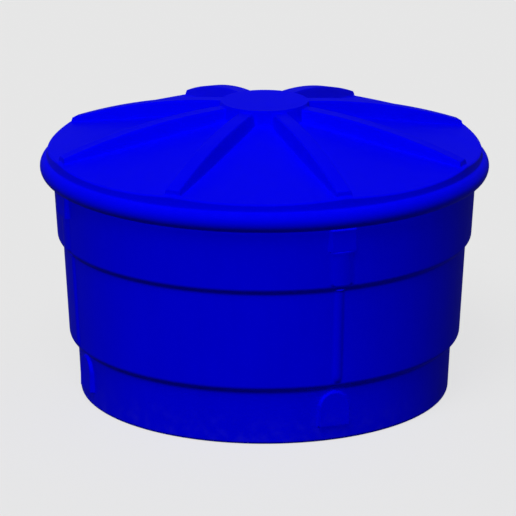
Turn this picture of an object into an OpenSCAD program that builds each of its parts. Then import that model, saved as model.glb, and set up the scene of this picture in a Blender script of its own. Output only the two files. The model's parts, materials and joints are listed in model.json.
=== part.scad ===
// Round covered livestock water tank: a stepped, tapered plastic shell with a ribbed lift-off
// lid, a float valve on the inlet, a quarter-turn valve on the outlet, an overflow and a drain.
// Millimetres, +Z up, origin on the floor at the tank's centre line. Azimuths are counted
// from -Y towards +X. Threads are plain cylinders at their major or minor radius.

/* [Tank shell] */
// Outer radius of the wall at the rim
rim_r = 690.5; // [560:0.5:840]
// Height of the lowest band
low_band_h = 187; // [150:1:230]
// Height of the middle band
mid_band_h = 333; // [270:1:410]
// Height of the upper band, up to the rim
upper_band_h = 282; // [230:1:350]
// How much smaller in radius the foot of the upper band is than the rim
upper_taper = 14; // [8:0.5:20]
// Width of the upper step
high_step_w = 19; // [12:0.5:26]
// How much the middle band tapers in radius
mid_taper = 15; // [8:0.5:20]
// Width of the lower step
low_step_w = 28.5; // [16:0.5:36]
// How much the lowest band tapers in radius
low_taper = 7; // [4:0.5:12]
// Thickness of the tank's wall and floor
wall_t = 8; // [5:0.5:10]
// Radius of the rounded foot of the wall, outside
foot_round = 12; // [11:1:20]
// Radius of the two curves that make the upper step
high_curve = 18; // [15:0.5:24]
// Radius of the two curves that make the lower step
low_curve = 20; // [19:0.5:26]
// How far the rim's flange stands out from the wall
rim_flange_w = 2.5; // [1:0.5:5]
// Height of the rim's flange
rim_flange_h = 12; // [8:1:20]

/* [Lid] */
// Sideways gap between the rim's flange and the lid's lip
lip_gap = 2.5; // [1:0.5:6]
// Radius of the round bead at the lid's edge
bead_r = 34.5; // [28:0.5:42]
// Thickness of the lid's skin
lid_t = 5; // [3:0.5:6]
// Height of the lid's seat over the middle of the bead
seat_rise = 43.8; // [40:0.1:48]
// How far the edge of the panels stands outside the middle of the bead
edge_out = 10.5; // [8:0.5:14]
// Height of the panels' edge over the lid's seat
edge_t = 10.7; // [8:0.1:14]
// Slope of the roof panels in degrees
panel_angle = 10.5; // [8:0.5:13]
// Number of flat roof panels, and of the ribs between them
panels = 8; // [6:1:10]
// Radius of the round hub on top
hub_r = 142; // [110:1:175]
// Height of the hub over the panels beside it
hub_rise = 47.5; // [38:0.5:58]
// How much wider the hub is at its foot
hub_draft = 8; // [4:1:12]
// Width of a rib across its top
rib_w = 48; // [38:1:58]
// How far the ribs' tops lie below the hub's top where they meet it
rib_drop = 10; // [6:1:16]
// Height of a rib's end face over the panels
rib_end_h = 14; // [10:1:20]
// How far a rib's end stops short of the panels' edge
rib_end_gap = 16; // [10:1:24]
// Radius of the arch that a rib's top follows
rib_arch_r = 1950; // [1600:10:2400]
// Slope of the ribs' sides from the vertical, in degrees
rib_side = 12; // [6:1:18]
// Radius of the rounded edges of a rib
rib_round = 12; // [8:1:14]

/* [Wall stations] */
// Azimuth of the first of the four stations
station_az = 22.5; // [0:0.5:45]
// How far the upper boss reaches past the largest flange on either side
boss_side = 7; // [4:0.5:12]
// How far the upper boss reaches past the largest flange above and below
boss_over = 1; // [0.5:0.1:4]
// Gap between the lid's lip and the top of the upper boss
boss_gap = 4; // [2:0.5:10]
// How far the bosses and pads stand out from the wall at their middle
boss_proud = 12; // [10:0.5:15]
// Width of the lower pad
pad_w = 101; // [86:1:120]
// Height of the straight part of the lower pad
pad_h = 66; // [54:1:70]
// Height of the lower pad's foot over the floor
pad_z = 52; // [40:1:62]
// Width of the rib below the upper boss, in the upper band
high_ridge_w = 75; // [60:1:85]
// Width of the rib in the middle band
mid_ridge_w = 30; // [24:1:36]
// How far the ribs in the bands stand out
ridge_proud = 6; // [4:0.5:7]

/* [Fittings] */
// Height of the drain's and the outlet's middle over the foot of the lower pad
port_rise = 52; // [42:1:64]
// Thickness of a sealing gasket
gasket_t = 3; // [2:0.5:4]
// Thickness of a fitting's flange
flange_t = 8; // [6:0.5:10]
// Thickness of a lock nut
nut_t = 12; // [9:1:15]
// Gap all round a fitting in its hole in the wall
hole_gap = 0.8; // [0.4:0.1:1.5]
// Outer radius of the inlet and outlet fittings' threads
small_thread_r = 16.6; // [14:0.1:18]
// Thickness of the inlet and outlet fittings' tube
small_tube_t = 4.6; // [3.5:0.1:5.6]
// Outer radius of the overflow and drain fittings' threads
large_thread_r = 24; // [20:0.1:29]
// Thickness of the overflow and drain fittings' tube
large_tube_t = 4; // [3:0.1:5]
// Length of the overflow's outer spigot
spigot_l = 22; // [16:1:28]

/* [Float valve] */
// Radius of the float ball
ball_r = 57; // [45:1:68]
// Length of the float rod
rod_l = 290; // [230:1:340]
// Radius of the float rod
rod_r = 4; // [3:0.1:5]
// Angle that the float arm swings through, in degrees
arm_swing = 22; // [17:1:26]
// Gap between the lever and the valve's barrel when the arm is level
lever_gap = 2; // [1:0.1:4]
// Radius of the plunger's bore
plunger_r = 9; // [7.5:0.1:10.5]

/* [Outlet valve] */
// How much larger in radius the valve's ball is than its bore
valve_ball_t = 5; // [4:0.1:6]
// Length of the valve's handle from its stem
handle_l = 95; // [75:1:115]
// Width of the handle
handle_w = 18; // [15:1:22]

/* [Hidden] */
$fn = 96;
fine = 360;              // facets of the large rounds
eps = 0.5;               // overshoot of a cutting shape
fit = 0.02;              // gap between screwed pieces of one body
run = 0.05;              // running clearance of a shaft in its bore
rest_gap = 0.3;          // gap between two bodies that rest on each other

// Heights and radii of the wall
low_step_z = low_band_h;
high_step_z = low_step_z + mid_band_h;
rim_z = high_step_z + upper_band_h;
upper_foot_r = rim_r - upper_taper;
mid_top_r = upper_foot_r - high_step_w;
mid_foot_r = mid_top_r - mid_taper;
low_top_r = mid_foot_r - low_step_w;
base_r = low_top_r - low_taper;
flange_r = rim_r + rim_flange_w;

// How far the curves of each step turn, and half the height that they take
high_turn = acos(1 - high_step_w / (2 * high_curve));
low_turn = acos(1 - low_step_w / (2 * low_curve));
high_reach = high_curve * sin(high_turn);
low_reach = low_curve * sin(low_turn);
flange_foot_z = rim_z - rim_flange_h - rim_flange_w;

// Lid
bead_c_r = flange_r + lip_gap;
seat_z = rim_z + rest_gap;
bead_z = seat_z - seat_rise;
edge_r = bead_c_r + edge_out;
edge_z = seat_z + edge_t;
edge_draft = 2;
seat_in_r = rim_r - wall_t - 6;
skirt_in_r = edge_r - lid_t;
hub_top_z = panel_height(hub_r) + hub_rise;
hub_edge = 6;            // radius of the hub's rounded edge
rib_az = 180 / panels;
rib_out_r = edge_r - rib_end_gap;
rib_in_r = hub_r * 0.55;

// Stations and ports
stations = [0, 90, 180, 270];
inlet_az = station_az + 180;
drain_az = station_az + 90;
small_bore_r = small_thread_r - small_tube_t;
large_bore_r = large_thread_r - large_tube_t;
small_flange_r = small_thread_r + 12;
large_flange_r = large_thread_r + 12;
boss_w = 2 * (large_flange_r + boss_side);
boss_h = 2 * (large_flange_r + boss_over);
boss_z = bead_z - bead_r - boss_gap - boss_h / 2;
low_port_z = pad_z + port_rise;
ridge_top_z = boss_z - boss_h / 2;
boss_face = wall_r(boss_z) + boss_proud;
pad_face = wall_r(low_port_z) + boss_proud;
spot_depth = 2.5;
high_in = wall_r(boss_z) - wall_t + spot_depth;
low_in = wall_r(low_port_z) - wall_t + spot_depth;
small_nut_r = small_thread_r + 10;
large_nut_r = large_thread_r + 11;
nut_margin = 4;
thread_past = 8;         // thread that shows past a lock nut
inlet_tail = 14;         // length of the inlet outside its flange
pipe_r = small_bore_r + 1.2; // major radius of a three-quarter-inch pipe thread
socket_depth = 16;       // depth of the threaded sockets

// Float valve, along the inlet's axis
screw_in = 14;
collar_t = 8;
valve_back = high_in - nut_t - thread_past;
valve_seat_s = valve_back - 14;
barrel_r = plunger_r + 5;
socket_r = 8;
finger_l = barrel_r + socket_r + lever_gap;
barrel_l = 62;
nozzle_r = 6;
nozzle_out = 2;
travel = finger_l * arm_swing * PI / 180;
shut_gap = 0.1;
washer_t = 3;
washer_proud = 1;
plunger_front = valve_seat_s - nozzle_out - shut_gap - travel - washer_proud;
plunger_l = 30;
slot_back = 18;
tip_r = 3.5;
finger_t = 3;            // thickness of the lever's finger
finger_w = 5;
slot_gap = 0.4;
slot_w = finger_w + 2;
pivot_s = plunger_front - slot_back + finger_l * sin(arm_swing / 2);
pin_r = 3;
lever_w = 9;
ear_t = 4;
ear_gap = 0.3;
socket_l = 28;
rod_start = 10;
neck_l = 14;
neck_r = 9;
rod_in_ball = 30;
rod_nut_r = 8;
rod_nut_t = 6;

// Outlet valve, along the outlet's axis
valve_ball_r = small_bore_r + valve_ball_t;
outlet_face = pad_face + gasket_t + flange_t;
outlet_tail = 18;
socket_start = outlet_face + 2;
chamber_start = outlet_face + outlet_tail + 3;
chamber_r = valve_ball_r + 2.3;
seat_w = 9;
valve_c = chamber_start + valve_ball_r + 2;
chamber_end = 2 * valve_c - chamber_start;
valve_body_r = chamber_r + 6;
valve_end_in = 7;
valve_end_l = 18;
stem_r = 5;
stem_foot = max(valve_ball_r - 3.5, small_bore_r + 1);
bonnet_r = 10;
bonnet_top = valve_body_r + 13;
handle_t = 3;
handle_y = bonnet_top + rest_gap;
stem_top = handle_y + handle_t + 6;
grip_l = 55;
grip_t = 2;

// Drain plug
plug_l = 20;
plug_head_r = 19;
plug_head_t = 12;
plug_seal_t = 2;
drain_face = pad_face + gasket_t + flange_t;

// Outer radius of the plain wall at a height
function wall_r(z) = lookup(z, [
    [foot_round, base_r], [low_step_z - low_reach, low_top_r],
    [low_step_z + low_reach, mid_foot_r], [high_step_z - high_reach, mid_top_r],
    [high_step_z + high_reach, upper_foot_r], [flange_foot_z, rim_r]]);

// Height of a roof panel at a distance from the axis, along the panel's own middle
function panel_height(r) = edge_z + tan(panel_angle) * (edge_r - r);

// Points of an arc about (cx, cy), from angle a0 to a1 in n steps
function arc(cx, cy, r, a0, a1, n) =
    [for (i = [0:n]) let (a = a0 + (a1 - a0) * i / n) [cx + r * cos(a), cy + r * sin(a)]];

// The two curves of a step from radius r0 up and out to r1, moved inwards by t
function step_line(r0, r1, z, curve, turn, t) = concat(
    arc(r0 + curve, z - curve * sin(turn), curve + t, 180, 180 - turn, 6),
    arc(r1 - curve, z + curve * sin(turn), curve - t, -turn, 0, 6));

// The wall's outline from the foot to the rim, moved inwards by t, as (radius, height)
function wall_line(t) = concat(
    arc(base_r - foot_round, foot_round, foot_round - t, -90, 0, 6),
    step_line(low_top_r, mid_foot_r, low_step_z, low_curve, low_turn, t),
    step_line(mid_top_r, upper_foot_r, high_step_z, high_curve, high_turn, t));

// ---------------------------------------------------------------- helpers

// Puts children on a station's axis: local +Z points outwards, +Y up
module at_port(az, z) {
    rotate([0, 0, az]) translate([0, 0, z]) rotate([90, 0, 0]) children();
}

// A tube along local Z from z0 to z1
module tube(r_out, r_in, z0, z1) {
    difference() {
        translate([0, 0, z0]) cylinder(r = r_out, h = z1 - z0);
        translate([0, 0, z0 - eps]) cylinder(r = r_in, h = z1 - z0 + 2 * eps);
    }
}

// A hexagon bar along local Z with a round hole
module hex_ring(r_out, r_in, z0, z1) {
    difference() {
        translate([0, 0, z0]) cylinder(r = r_out, h = z1 - z0, $fn = 6);
        translate([0, 0, z0 - eps]) cylinder(r = r_in, h = z1 - z0 + 2 * eps);
    }
}

// A screwed wall fitting: a tube through the wall with a flange outside
module connector(thread_r, bore_r, flange_rad, face, inside, tail) {
    s0 = inside - nut_t - thread_past;
    s1 = face + gasket_t;
    difference() {
        union() {
            translate([0, 0, s0]) cylinder(r = thread_r, h = s1 + flange_t + tail - s0);
            translate([0, 0, s1]) cylinder(r = flange_rad, h = flange_t);
        }
        translate([0, 0, s0 - eps]) cylinder(r = bore_r, h = s1 + flange_t + tail - s0 + 2 * eps);
    }
}

// The gasket between a fitting's flange and the boss or pad
module gasket(thread_r, flange_rad, face) {
    tube(flange_rad - 1, thread_r + fit, face, face + gasket_t);
}

// The lock nut on the inside of the wall, with a round washer face
module lock_nut(thread_r, nut_r, inside) {
    hex_ring(nut_r, thread_r + fit, inside - nut_t, inside - 3);
    tube(nut_r, thread_r + fit, inside - 3, inside);
}

// ---------------------------------------------------------------- tank shell

// A vertical rib on one band of the wall, lying along its slope
module ridge(w, z0, z1) {
    r = (w * w / 4 + ridge_proud * ridge_proud) / (2 * ridge_proud);
    lean = atan((wall_r(z1) - wall_r(z0)) / (z1 - z0));
    translate([0, -wall_r(z0) - ridge_proud + r, z0]) rotate([lean, 0, 0])
        cylinder(r = r, h = (z1 - z0) / cos(lean), $fn = 180);
}

// The raised parts of one station: the upper boss, the two ribs and the lower pad
module station() {
    at_port(0, boss_z) translate([-boss_w / 2, -boss_h / 2, boss_face - boss_proud - wall_t - 4])
        cube([boss_w, boss_h, boss_proud + wall_t + 4]);
    at_port(0, pad_z) translate([0, 0, pad_face - boss_proud - wall_t - 4]) {
        translate([-pad_w / 2, 0, 0]) cube([pad_w, pad_h, boss_proud + wall_t + 4]);
        translate([0, pad_h, 0]) cylinder(r = pad_w / 2, h = boss_proud + wall_t + 4);
    }
    ridge(high_ridge_w, high_step_z + high_reach, ridge_top_z + 1);
    ridge(mid_ridge_w, low_step_z + low_reach, high_step_z);
}

// A hole through the wall and the flat that its lock nut seats on
module port_cut(thread_r, nut_r, face, inside) {
    translate([0, 0, inside - 40]) cylinder(r = thread_r + hole_gap, h = face - inside + 60);
    translate([0, 0, inside - 40]) cylinder(r = nut_r + nut_margin, h = 40);
}

module tank_outside() {
    rotate_extrude($fn = fine)
        polygon(concat([[0, 0]], wall_line(0),
            [[rim_r, flange_foot_z], [flange_r, rim_z - rim_flange_h],
             [flange_r, rim_z], [0, rim_z]]));
}

module tank_inside() {
    rotate_extrude($fn = fine)
        polygon(concat([[0, wall_t]], wall_line(wall_t),
            [[rim_r - wall_t, rim_z - rim_flange_h], [rim_r - wall_t, rim_z + eps],
             [0, rim_z + eps]]));
}

module tank_body() {
    color("mediumblue") difference() {
        union() {
            tank_outside();
            for (a = stations) rotate([0, 0, station_az + a]) station();
        }
        tank_inside();
        at_port(inlet_az, boss_z) port_cut(small_thread_r, small_nut_r, boss_face, high_in);
        at_port(inlet_az, low_port_z) port_cut(small_thread_r, small_nut_r, pad_face, low_in);
        at_port(drain_az, boss_z) port_cut(large_thread_r, large_nut_r, boss_face, high_in);
        at_port(drain_az, low_port_z) port_cut(large_thread_r, large_nut_r, pad_face, low_in);
    }
}

// ---------------------------------------------------------------- lid

// A many-sided roof of flat panels, lowered by t, standing on a round plan of radius r
module roof(r, z0, t) {
    size = 2 * edge_r;
    difference() {
        translate([0, 0, z0]) cylinder(r = r, h = hub_top_z - z0, $fn = fine);
        for (k = [0:panels - 1]) rotate([0, 0, k * 360 / panels])
            translate([0, -edge_r, edge_z - t / cos(panel_angle)]) rotate([panel_angle, 0, 0])
                translate([-size, -size / 2, 0]) cube([2 * size, 2 * size, size]);
    }
}

// The centre of the ribs' arch: it passes through the rib's two ends
function rib_plane(r) = edge_z + tan(panel_angle) * (edge_r - r * cos(rib_az));
rib_a = [hub_r, hub_top_z - rib_drop];
rib_b = [rib_out_r, rib_plane(rib_out_r) + rib_end_h];
rib_chord = norm(rib_b - rib_a);
rib_sink = sqrt(rib_arch_r * rib_arch_r - rib_chord * rib_chord / 4);
rib_deep = rib_arch_r - rib_sink + hub_rise + lid_t;
rib_c = (rib_a + rib_b) / 2 + rib_sink / rib_chord * [rib_b[1] - rib_a[1], rib_a[0] - rib_b[0]];

// One arched rib along -Y from radius r0 to r1: a rounded, tapered section swept on the arch
module rib(t, r0, r1) {
    top = rib_arch_r - t;
    half = rib_w / 2 - t;
    round_r = rib_round - t;
    foot = half + rib_deep * tan(rib_side);
    turn0 = asin((r0 - rib_c[0]) / rib_arch_r);
    turn1 = asin((r1 - rib_c[0]) / rib_arch_r);
    corner = arc(top - round_r, half - round_r, round_r, 0, 90 - rib_side, 4);
    translate([0, -rib_c[0], rib_c[1]]) rotate([0, -90, 180]) rotate([0, 0, turn0])
        rotate_extrude(angle = turn1 - turn0, $fn = 720)
            polygon(concat([[top - rib_deep, -foot]],
                [for (i = [4:-1:0]) [corner[i][0], -corner[i][1]]], corner,
                [[top - rib_deep, foot]]));
}

// The round hub, drafted, with a rounded edge, made smaller all round by t
module hub(t, z0) {
    r = hub_r - t;
    z1 = hub_top_z - t;
    foot = r + hub_draft * (z1 - z0) / hub_rise;
    rotate_extrude($fn = fine)
        polygon(concat([[0, z0], [foot, z0]], arc(r - hub_edge, z1 - hub_edge, hub_edge, 10, 90, 4),
            [[0, z1]]));
}

module ribs(t, r1) {
    for (k = [0:panels - 1]) rotate([0, 0, rib_az + k * 360 / panels]) rib(t, rib_in_r, r1);
}

// The solid under the lid's outer surface, down to the lip
module lid_outside() {
    top_a = acos((edge_r + edge_draft - bead_c_r) / bead_r);
    union() {
        roof(edge_r, bead_z, 0);
        rotate_extrude($fn = fine)
            polygon(concat([[0, bead_z - bead_r]], arc(bead_c_r, bead_z, bead_r, -90, top_a, 18),
                [[edge_r, edge_z], [0, edge_z]]));
        ribs(0, rib_out_r);
        hub(0, panel_height(hub_r) - hub_rise / 2);
    }
}

// The hollow under the lid
module lid_inside() {
    in_r = bead_r - lid_t;
    top_a = acos((skirt_in_r - bead_c_r) / in_r);
    union() {
        roof(seat_in_r, seat_z - eps, lid_t);
        rotate_extrude($fn = fine)
            polygon(concat([[0, bead_z - bead_r - eps], [bead_c_r, bead_z - bead_r - eps]],
                arc(bead_c_r, bead_z, in_r, -90, top_a, 16),
                [[skirt_in_r, seat_z], [0, seat_z]]));
        ribs(lid_t, seat_in_r - 4);
        hub(lid_t, panel_height(hub_r) - hub_rise / 2);
    }
}

module lid_shell() {
    color("blue") difference() {
        lid_outside();
        lid_inside();
    }
}

// ---------------------------------------------------------------- inlet and float valve

module inlet_connector() {
    mouth = boss_face + gasket_t + flange_t + inlet_tail;
    color("dimgray") at_port(inlet_az, boss_z) difference() {
        connector(small_thread_r, small_bore_r, small_flange_r, boss_face, high_in, inlet_tail);
        translate([0, 0, mouth - socket_depth]) cylinder(r = pipe_r, h = socket_depth + eps);
    }
}

module inlet_gasket() {
    color("black") at_port(inlet_az, boss_z) gasket(small_thread_r, small_flange_r, boss_face);
}

module inlet_nut() {
    color("dimgray") at_port(inlet_az, boss_z) lock_nut(small_thread_r, small_nut_r, high_in);
}

// The brass body: a barrel with a screwed tail, a spout and two ears for the lever's pin
module float_valve_body() {
    end_s = valve_back - barrel_l;
    ear_in = lever_w / 2 + ear_gap;
    color("goldenrod") at_port(inlet_az, boss_z) difference() {
        union() {
            translate([0, 0, end_s]) cylinder(r = barrel_r, h = barrel_l);
            translate([0, 0, valve_back - collar_t]) cylinder(r = small_thread_r + 1, h = collar_t, $fn = 6);
            translate([0, 0, valve_back]) cylinder(r = small_bore_r - fit, h = screw_in);
            for (side = [-1, 1]) translate([side * (ear_in + ear_t / 2), 0, pivot_s]) {
                translate([-ear_t / 2, -finger_l, -8]) cube([ear_t, finger_l, 16]);
                translate([-ear_t / 2, -finger_l, 0]) rotate([0, 90, 0]) cylinder(r = 8, h = ear_t);
            }
            translate([0, 0, valve_seat_s - 7]) rotate([90, 0, 0]) cylinder(r = 8, h = barrel_r + 8);
        }
        translate([0, 0, end_s - eps]) cylinder(r = plunger_r, h = valve_seat_s - end_s + eps);
        translate([0, 0, valve_seat_s - eps]) cylinder(r = nozzle_r, h = 60);
        translate([0, 0, valve_seat_s - 7]) rotate([90, 0, 0]) cylinder(r = 5.5, h = barrel_r + 9);
        translate([-ear_in, -barrel_r - eps, pivot_s - 14]) cube([2 * ear_in, barrel_r + eps, 24]);
        translate([-20, -finger_l, pivot_s]) rotate([0, 90, 0]) cylinder(r = pin_r, h = 40);
    }
}

module float_valve_seat() {
    color("white") at_port(inlet_az, boss_z)
        tube(nozzle_r - fit, 3, valve_seat_s - nozzle_out, valve_seat_s + 12);
}

module float_pivot_pin() {
    half = lever_w / 2 + ear_gap + ear_t + 1;
    color("silver") at_port(inlet_az, boss_z) translate([-half, -finger_l, pivot_s]) rotate([0, 90, 0])
        cylinder(r = pin_r, h = 2 * half);
}

// Puts children on the arm's pivot in its lowered place: local -Z runs along the rod
module on_arm() {
    at_port(inlet_az, boss_z) translate([0, -finger_l, pivot_s]) rotate([-arm_swing, 0, 0]) children();
}

module float_lever() {
    color("goldenrod") on_arm() difference() {
        union() {
            translate([-lever_w / 2, 0, 0]) rotate([0, 90, 0]) cylinder(r = 7, h = lever_w);
            translate([0, 0, -socket_l]) cylinder(r = socket_r, h = socket_l - 9);
            translate([-lever_w / 2, -5, -12]) cube([lever_w, 10, 12]);
            rotate([arm_swing / 2, 0, 0]) {
                translate([-finger_w / 2, 0, -finger_t / 2]) cube([finger_w, finger_l, finger_t]);
                translate([-finger_w / 2, finger_l, 0]) rotate([0, 90, 0]) cylinder(r = tip_r, h = finger_w);
            }
        }
        translate([-20, 0, 0]) rotate([0, 90, 0]) cylinder(r = pin_r + run, h = 40);
        translate([0, 0, -socket_l - eps]) cylinder(r = rod_r, h = socket_l - rod_start + eps);
    }
}

module float_rod() {
    color("goldenrod") on_arm() translate([0, 0, -rod_start - rod_l]) cylinder(r = rod_r - fit, h = rod_l);
}

module float_ball() {
    tip = -rod_start - rod_l;
    color("orangered") on_arm() difference() {
        union() {
            translate([0, 0, tip + rod_in_ball - neck_l - ball_r]) sphere(r = ball_r, $fn = 120);
            translate([0, 0, tip + rod_in_ball - neck_l - 4]) cylinder(r = neck_r, h = neck_l + 4);
        }
        translate([0, 0, tip]) cylinder(r = rod_r, h = rod_in_ball + eps);
    }
}

module float_rod_nuts() {
    color("silver") on_arm() for (z = [-socket_l - rod_nut_t, -rod_start - rod_l + rod_in_ball])
        hex_ring(rod_nut_r, rod_r, z, z + rod_nut_t);
}

module valve_plunger() {
    slot_s = plunger_front - slot_back;
    slot_half = tip_r + slot_gap / 2;
    color("goldenrod") at_port(inlet_az, boss_z) difference() {
        translate([0, 0, plunger_front - plunger_l]) cylinder(r = plunger_r - run, h = plunger_l);
        translate([0, 0, plunger_front - washer_t + washer_proud]) cylinder(r = plunger_r - 2, h = 10);
        translate([-slot_w / 2, -plunger_r - eps, slot_s - slot_half])
            cube([slot_w, plunger_r + tip_r + 1.5 + eps, 2 * slot_half]);
    }
}

module plunger_washer() {
    color("black") at_port(inlet_az, boss_z)
        translate([0, 0, plunger_front - washer_t + washer_proud]) cylinder(r = plunger_r - 2 - fit, h = washer_t);
}

// ---------------------------------------------------------------- overflow

module overflow_connector() {
    mouth = boss_face + gasket_t + flange_t + spigot_l;
    color("dimgray") at_port(drain_az, boss_z) difference() {
        connector(large_thread_r, large_bore_r, large_flange_r, boss_face, high_in, spigot_l);
        translate([0, 0, mouth - 3]) cylinder(r = large_bore_r + 1.5, h = 4);
    }
}

module overflow_gasket() {
    color("black") at_port(drain_az, boss_z) gasket(large_thread_r, large_flange_r, boss_face);
}

module overflow_nut() {
    color("dimgray") at_port(drain_az, boss_z) lock_nut(large_thread_r, large_nut_r, high_in);
}

// The vermin screen: a thin disc with a ring pattern of holes
module overflow_screen() {
    mouth = boss_face + gasket_t + flange_t + spigot_l;
    color("silver") at_port(drain_az, boss_z) difference() {
        translate([0, 0, mouth - 3]) cylinder(r = large_bore_r + 1.5 - fit, h = 2);
        translate([0, 0, mouth - 4]) cylinder(r = 2, h = 4);
        for (ring = [1:3], k = [0:6 * ring - 1]) rotate([0, 0, k * 60 / ring])
            translate([ring * (large_bore_r - 2) / 3.4, 0, mouth - 4]) cylinder(r = 2, h = 4, $fn = 24);
    }
}

// ---------------------------------------------------------------- outlet and its valve

module outlet_connector() {
    color("dimgray") at_port(inlet_az, low_port_z)
        connector(small_thread_r, small_bore_r, small_flange_r, pad_face, low_in, outlet_tail);
}

module outlet_gasket() {
    color("black") at_port(inlet_az, low_port_z) gasket(small_thread_r, small_flange_r, pad_face);
}

module outlet_nut() {
    color("dimgray") at_port(inlet_az, low_port_z) lock_nut(small_thread_r, small_nut_r, low_in);
}

module outlet_valve_body() {
    end_s = chamber_end + valve_end_in;
    color("gray") at_port(inlet_az, low_port_z) difference() {
        union() {
            translate([0, 0, socket_start]) cylinder(r = small_thread_r + 6, h = 20, $fn = 8);
            translate([0, 0, chamber_start - 3]) cylinder(r = valve_body_r, h = end_s - chamber_start + 3);
            translate([0, 0, valve_c]) rotate([-90, 0, 0]) cylinder(r = bonnet_r, h = bonnet_top);
        }
        translate([0, 0, socket_start - eps]) cylinder(r = small_thread_r + fit, h = outlet_tail - 2 + eps);
        translate([0, 0, socket_start]) cylinder(r = small_bore_r, h = 60);
        translate([0, 0, chamber_start]) cylinder(r = chamber_r, h = 100);
        translate([0, 0, valve_c]) rotate([-90, 0, 0]) cylinder(r = stem_r + run, h = 100);
    }
}

module outlet_valve_end() {
    color("gray") at_port(inlet_az, low_port_z) difference() {
        union() {
            translate([0, 0, chamber_end]) cylinder(r = chamber_r - fit, h = valve_end_in);
            translate([0, 0, chamber_end + valve_end_in]) cylinder(r = valve_body_r, h = valve_end_l, $fn = 6);
        }
        translate([0, 0, chamber_end - eps]) cylinder(r = small_bore_r, h = 100);
        translate([0, 0, chamber_end + valve_end_in + valve_end_l - socket_depth])
            cylinder(r = small_thread_r, h = socket_depth + eps);
    }
}

module outlet_valve_seats() {
    color("white") at_port(inlet_az, low_port_z) for (z = [chamber_start, chamber_end - seat_w])
        difference() {
            tube(chamber_r - fit, small_bore_r, z, z + seat_w);
            translate([0, 0, valve_c]) sphere(r = valve_ball_r + rest_gap);
        }
}

module outlet_valve_ball() {
    color("silver") at_port(inlet_az, low_port_z) translate([0, 0, valve_c]) difference() {
        sphere(r = valve_ball_r);
        translate([0, 0, -30]) cylinder(r = small_bore_r, h = 60);
        translate([0, stem_foot, 0]) rotate([-90, 0, 0]) cylinder(r = stem_r + fit, h = 10);
    }
}

module outlet_valve_stem() {
    color("silver") at_port(inlet_az, low_port_z)
        translate([0, stem_foot, valve_c]) rotate([-90, 0, 0]) cylinder(r = stem_r, h = stem_top - stem_foot);
}

module outlet_handle() {
    color("silver") at_port(inlet_az, low_port_z) translate([0, handle_y, valve_c]) rotate([-90, 0, 0])
        difference() {
            union() {
                cylinder(r = handle_w / 2, h = handle_t);
                translate([-handle_w / 2, -handle_l, 0]) cube([handle_w, handle_l, handle_t]);
            }
            translate([0, 0, -eps]) cylinder(r = stem_r + fit, h = 10);
        }
}

module outlet_handle_grip() {
    color("blue") at_port(inlet_az, low_port_z) translate([0, handle_y, valve_c]) rotate([-90, 0, 0])
        difference() {
            translate([-handle_w / 2 - grip_t, -handle_l - grip_t, -grip_t])
                cube([handle_w + 2 * grip_t, grip_l, handle_t + 2 * grip_t]);
            translate([-handle_w / 2, -handle_l, 0]) cube([handle_w, grip_l, handle_t]);
        }
}

module outlet_handle_nut() {
    color("silver") at_port(inlet_az, low_port_z) translate([0, handle_y + handle_t, valve_c])
        rotate([-90, 0, 0]) hex_ring(stem_r + 4, stem_r, 0, 4);
}

// ---------------------------------------------------------------- drain

module drain_connector() {
    color("dimgray") at_port(drain_az, low_port_z)
        connector(large_thread_r, large_bore_r, large_flange_r, pad_face, low_in, 0);
}

module drain_gasket() {
    color("black") at_port(drain_az, low_port_z) gasket(large_thread_r, large_flange_r, pad_face);
}

module drain_nut() {
    color("dimgray") at_port(drain_az, low_port_z) lock_nut(large_thread_r, large_nut_r, low_in);
}

module drain_plug() {
    z1 = drain_face + plug_seal_t + rest_gap;
    color("dimgray") at_port(drain_az, low_port_z) {
        translate([0, 0, z1 - plug_l]) cylinder(r = large_bore_r - run, h = plug_l);
        translate([0, 0, z1]) cylinder(r = large_bore_r + 6, h = 4);
        translate([0, 0, z1 + 4]) cylinder(r = plug_head_r, h = plug_head_t - 4, $fn = 6);
    }
}

module drain_plug_seal() {
    z0 = drain_face + rest_gap;
    color("black") at_port(drain_az, low_port_z) tube(large_bore_r + 4, large_bore_r, z0, z0 + plug_seal_t);
}

tank_body();
lid_shell();
inlet_connector();
inlet_gasket();
inlet_nut();
float_valve_body();
float_valve_seat();
float_pivot_pin();
float_lever();
float_rod();
float_ball();
float_rod_nuts();
valve_plunger();
plunger_washer();
overflow_connector();
overflow_gasket();
overflow_nut();
overflow_screen();
outlet_connector();
outlet_gasket();
outlet_nut();
outlet_valve_body();
outlet_valve_end();
outlet_valve_seats();
outlet_valve_ball();
outlet_valve_stem();
outlet_handle();
outlet_handle_grip();
outlet_handle_nut();
drain_connector();
drain_gasket();
drain_nut();
drain_plug();
drain_plug_seal();
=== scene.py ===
"""Looks of a round covered livestock water tank.

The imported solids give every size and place. This file builds the moulded shell and the ribbed lid
as smooth surfaces in place of their solids, gives every piece its finish, and sets a plain studio.
"""

import json
import logging
import math
from dataclasses import dataclass
from enum import Enum
from typing import Sequence

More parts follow.
